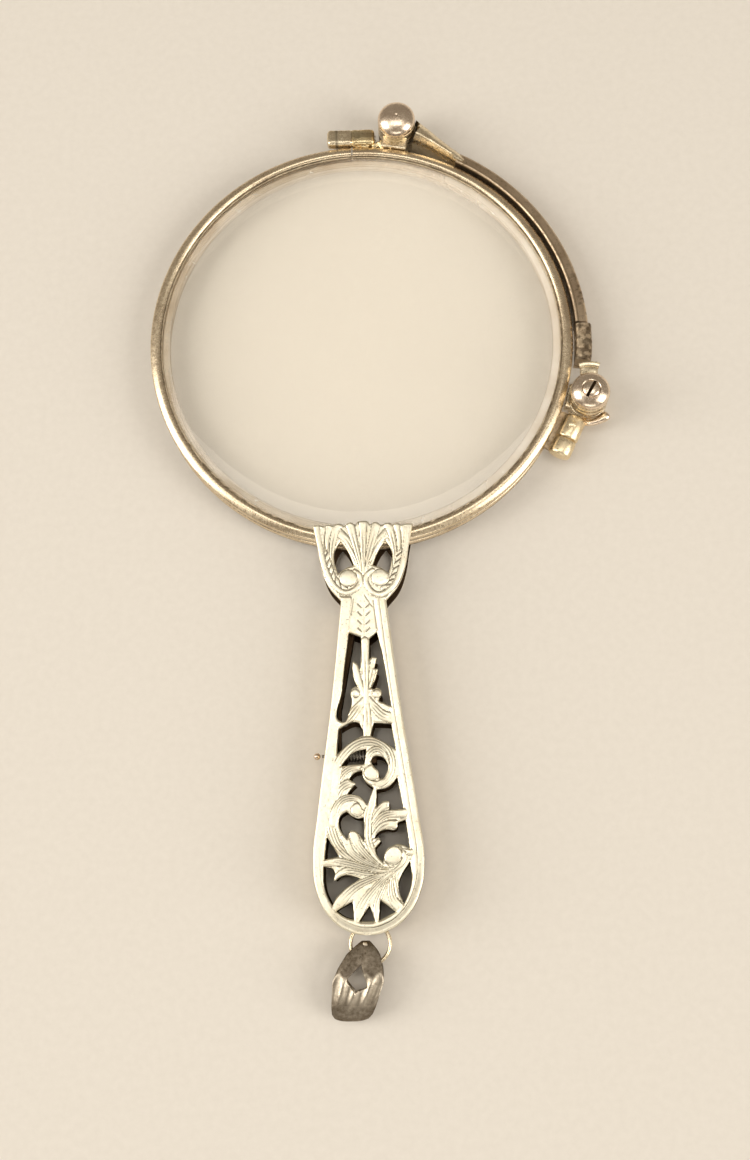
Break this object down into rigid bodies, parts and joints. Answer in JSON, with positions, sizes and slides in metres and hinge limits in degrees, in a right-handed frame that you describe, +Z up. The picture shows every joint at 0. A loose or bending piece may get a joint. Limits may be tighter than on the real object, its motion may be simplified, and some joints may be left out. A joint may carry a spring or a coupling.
{
  "type": "folding lorgnette",
  "caption": "Folding spring lorgnette: round framed lenses stacked on a pierced hollow handle, with a curved bridge, push pin release, split ring and bail.",
  "frame": {"origin": "under the middle of the whole folded part, on the surface it lies on", "axes": "+Z up through the stacked lenses, +Y from the handle's ring towards the lenses, +X towards the bridge side"},
  "size_m": [0.0414, 0.0824, 0.0049],
  "materials": {
    "silver": "worn warm silver, bright on the raised engraving",
    "tarnished_silver": "tarnished, lightly pitted silver",
    "spring_steel": "dark oiled steel",
    "lens_glass": "clear ground glass with a bevelled edge"
  },
  "bodies": {
    "handle": {"front_plate": "silver", "back_plate": "silver", "side_wall": "silver", "front_rim": "tarnished_silver", "front_lens": "lens_glass", "front_hinge_drum": "silver", "front_hinge_cap": "tarnished_silver", "front_hinge_pin": "spring_steel", "front_hinge_spring": "spring_steel", "front_block_inner": "tarnished_silver", "front_block_outer": "tarnished_silver", "front_block_screw": "spring_steel", "latch_pin": "spring_steel", "spring_seat": "spring_steel", "button_spring": "spring_steel"},
    "bridge": {"bridge_bar": "tarnished_silver", "bridge_arm": "silver", "bridge_end_piece": "tarnished_silver", "bridge_hinge_drum": "silver", "bridge_hinge_cap": "tarnished_silver", "bridge_hinge_screw": "silver", "bridge_hinge_spring": "spring_steel"},
    "rear_glass": {"rear_rim": "tarnished_silver", "rear_lens": "lens_glass", "rear_hinge_knuckle": "silver", "rear_block_inner": "silver", "rear_block_outer": "silver", "rear_block_screw": "spring_steel", "thumb_lip": "silver", "catch_stud": "spring_steel"},
    "push_button": {"push_pin": "spring_steel", "button_ball": "silver"},
    "latch": {"latch_lever": "spring_steel"},
    "ring": {"jump_ring": "silver"},
    "bail": {"bail": "tarnished_silver"}
  },
  "joints": [
    {"name": "bridge_swing", "type": "hinge", "parent": "handle", "child": "bridge", "pos_m": [0.00201, 0.03947, 0.002], "axis": [0, 0, 1], "range_deg": [0, 105]},
    {"name": "lens_swing", "type": "hinge", "parent": "bridge", "child": "rear_glass", "pos_m": [0.01873, 0.01257, 0.00125], "axis": [0, 0, 1], "range_deg": [0, 105]},
    {"name": "button_press", "type": "slide", "parent": "handle", "child": "push_button", "axis": [1, 0, 0], "range_m": [0, 0.0008], "stiffness_N_per_m": 300, "springref_m": -0.0003, "deforming": ["button_spring"]},
    {"name": "latch_turn", "type": "hinge", "parent": "handle", "child": "latch", "pos_m": [-0.00262, -0.00788, 0.00195], "axis": [0, 0, 1], "range_deg": [0, 4.2]},
    {"name": "ring_swing", "type": "hinge", "parent": "handle", "child": "ring", "pos_m": [-0.00142, -0.03363, 0.00195], "axis": [1, 0, 0], "range_deg": [-25, 25]},
    {"name": "bail_swing", "type": "hinge", "parent": "ring", "child": "bail", "pos_m": [-0.00142, -0.03628, 0.00195], "axis": [1, 0, 0], "range_deg": [-18, 25]}
  ],
  "couplings": [
    {"joint": "lens_swing", "follows": "bridge_swing", "ratio": 1},
    {"joint": "latch_turn", "follows": "button_press", "rad_per_m": 90}
  ]
}
